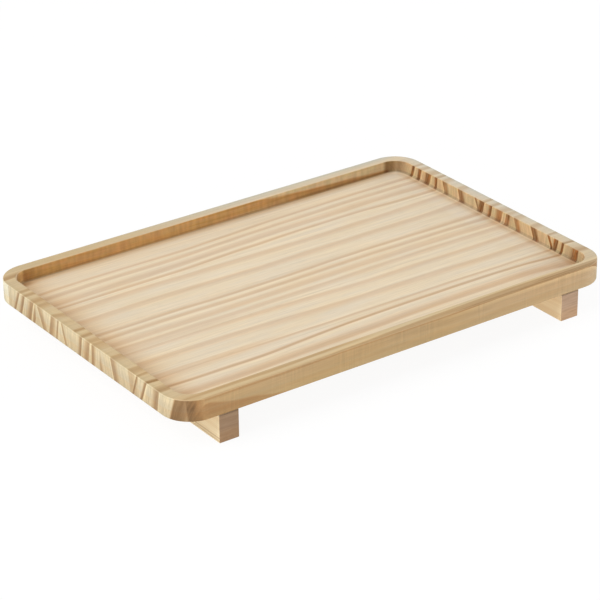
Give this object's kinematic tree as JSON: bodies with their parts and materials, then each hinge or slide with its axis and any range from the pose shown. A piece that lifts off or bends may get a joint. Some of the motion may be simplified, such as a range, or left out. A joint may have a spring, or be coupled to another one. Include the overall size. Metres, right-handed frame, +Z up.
{
  "type": "sushi geta board",
  "caption": "Shallow rectangular wooden serving board with a routed recess, a thin raised rim and round corners, standing on cross legs.",
  "frame": {"origin": "on the surface that the board stands on, under the middle of the board", "axes": "+X along the board's length and the grain, +Y from the front to the back, +Z up"},
  "size_m": [0.3, 0.2, 0.03],
  "materials": {
    "board_pine": "sanded, bare, dry to the touch",
    "leg_pine": "planed and sanded, bare",
    "screw_steel": "zinc plated"
  },
  "bodies": {
    "root": {"back_edge_stave": "board_pine", "back_stave": "board_pine", "centre_back_stave": "board_pine", "centre_front_stave": "board_pine", "front_stave": "board_pine", "front_edge_stave": "board_pine", "left_leg": "leg_pine", "right_leg": "leg_pine", "leg_screws": "screw_steel"}
  },
  "joints": []
}
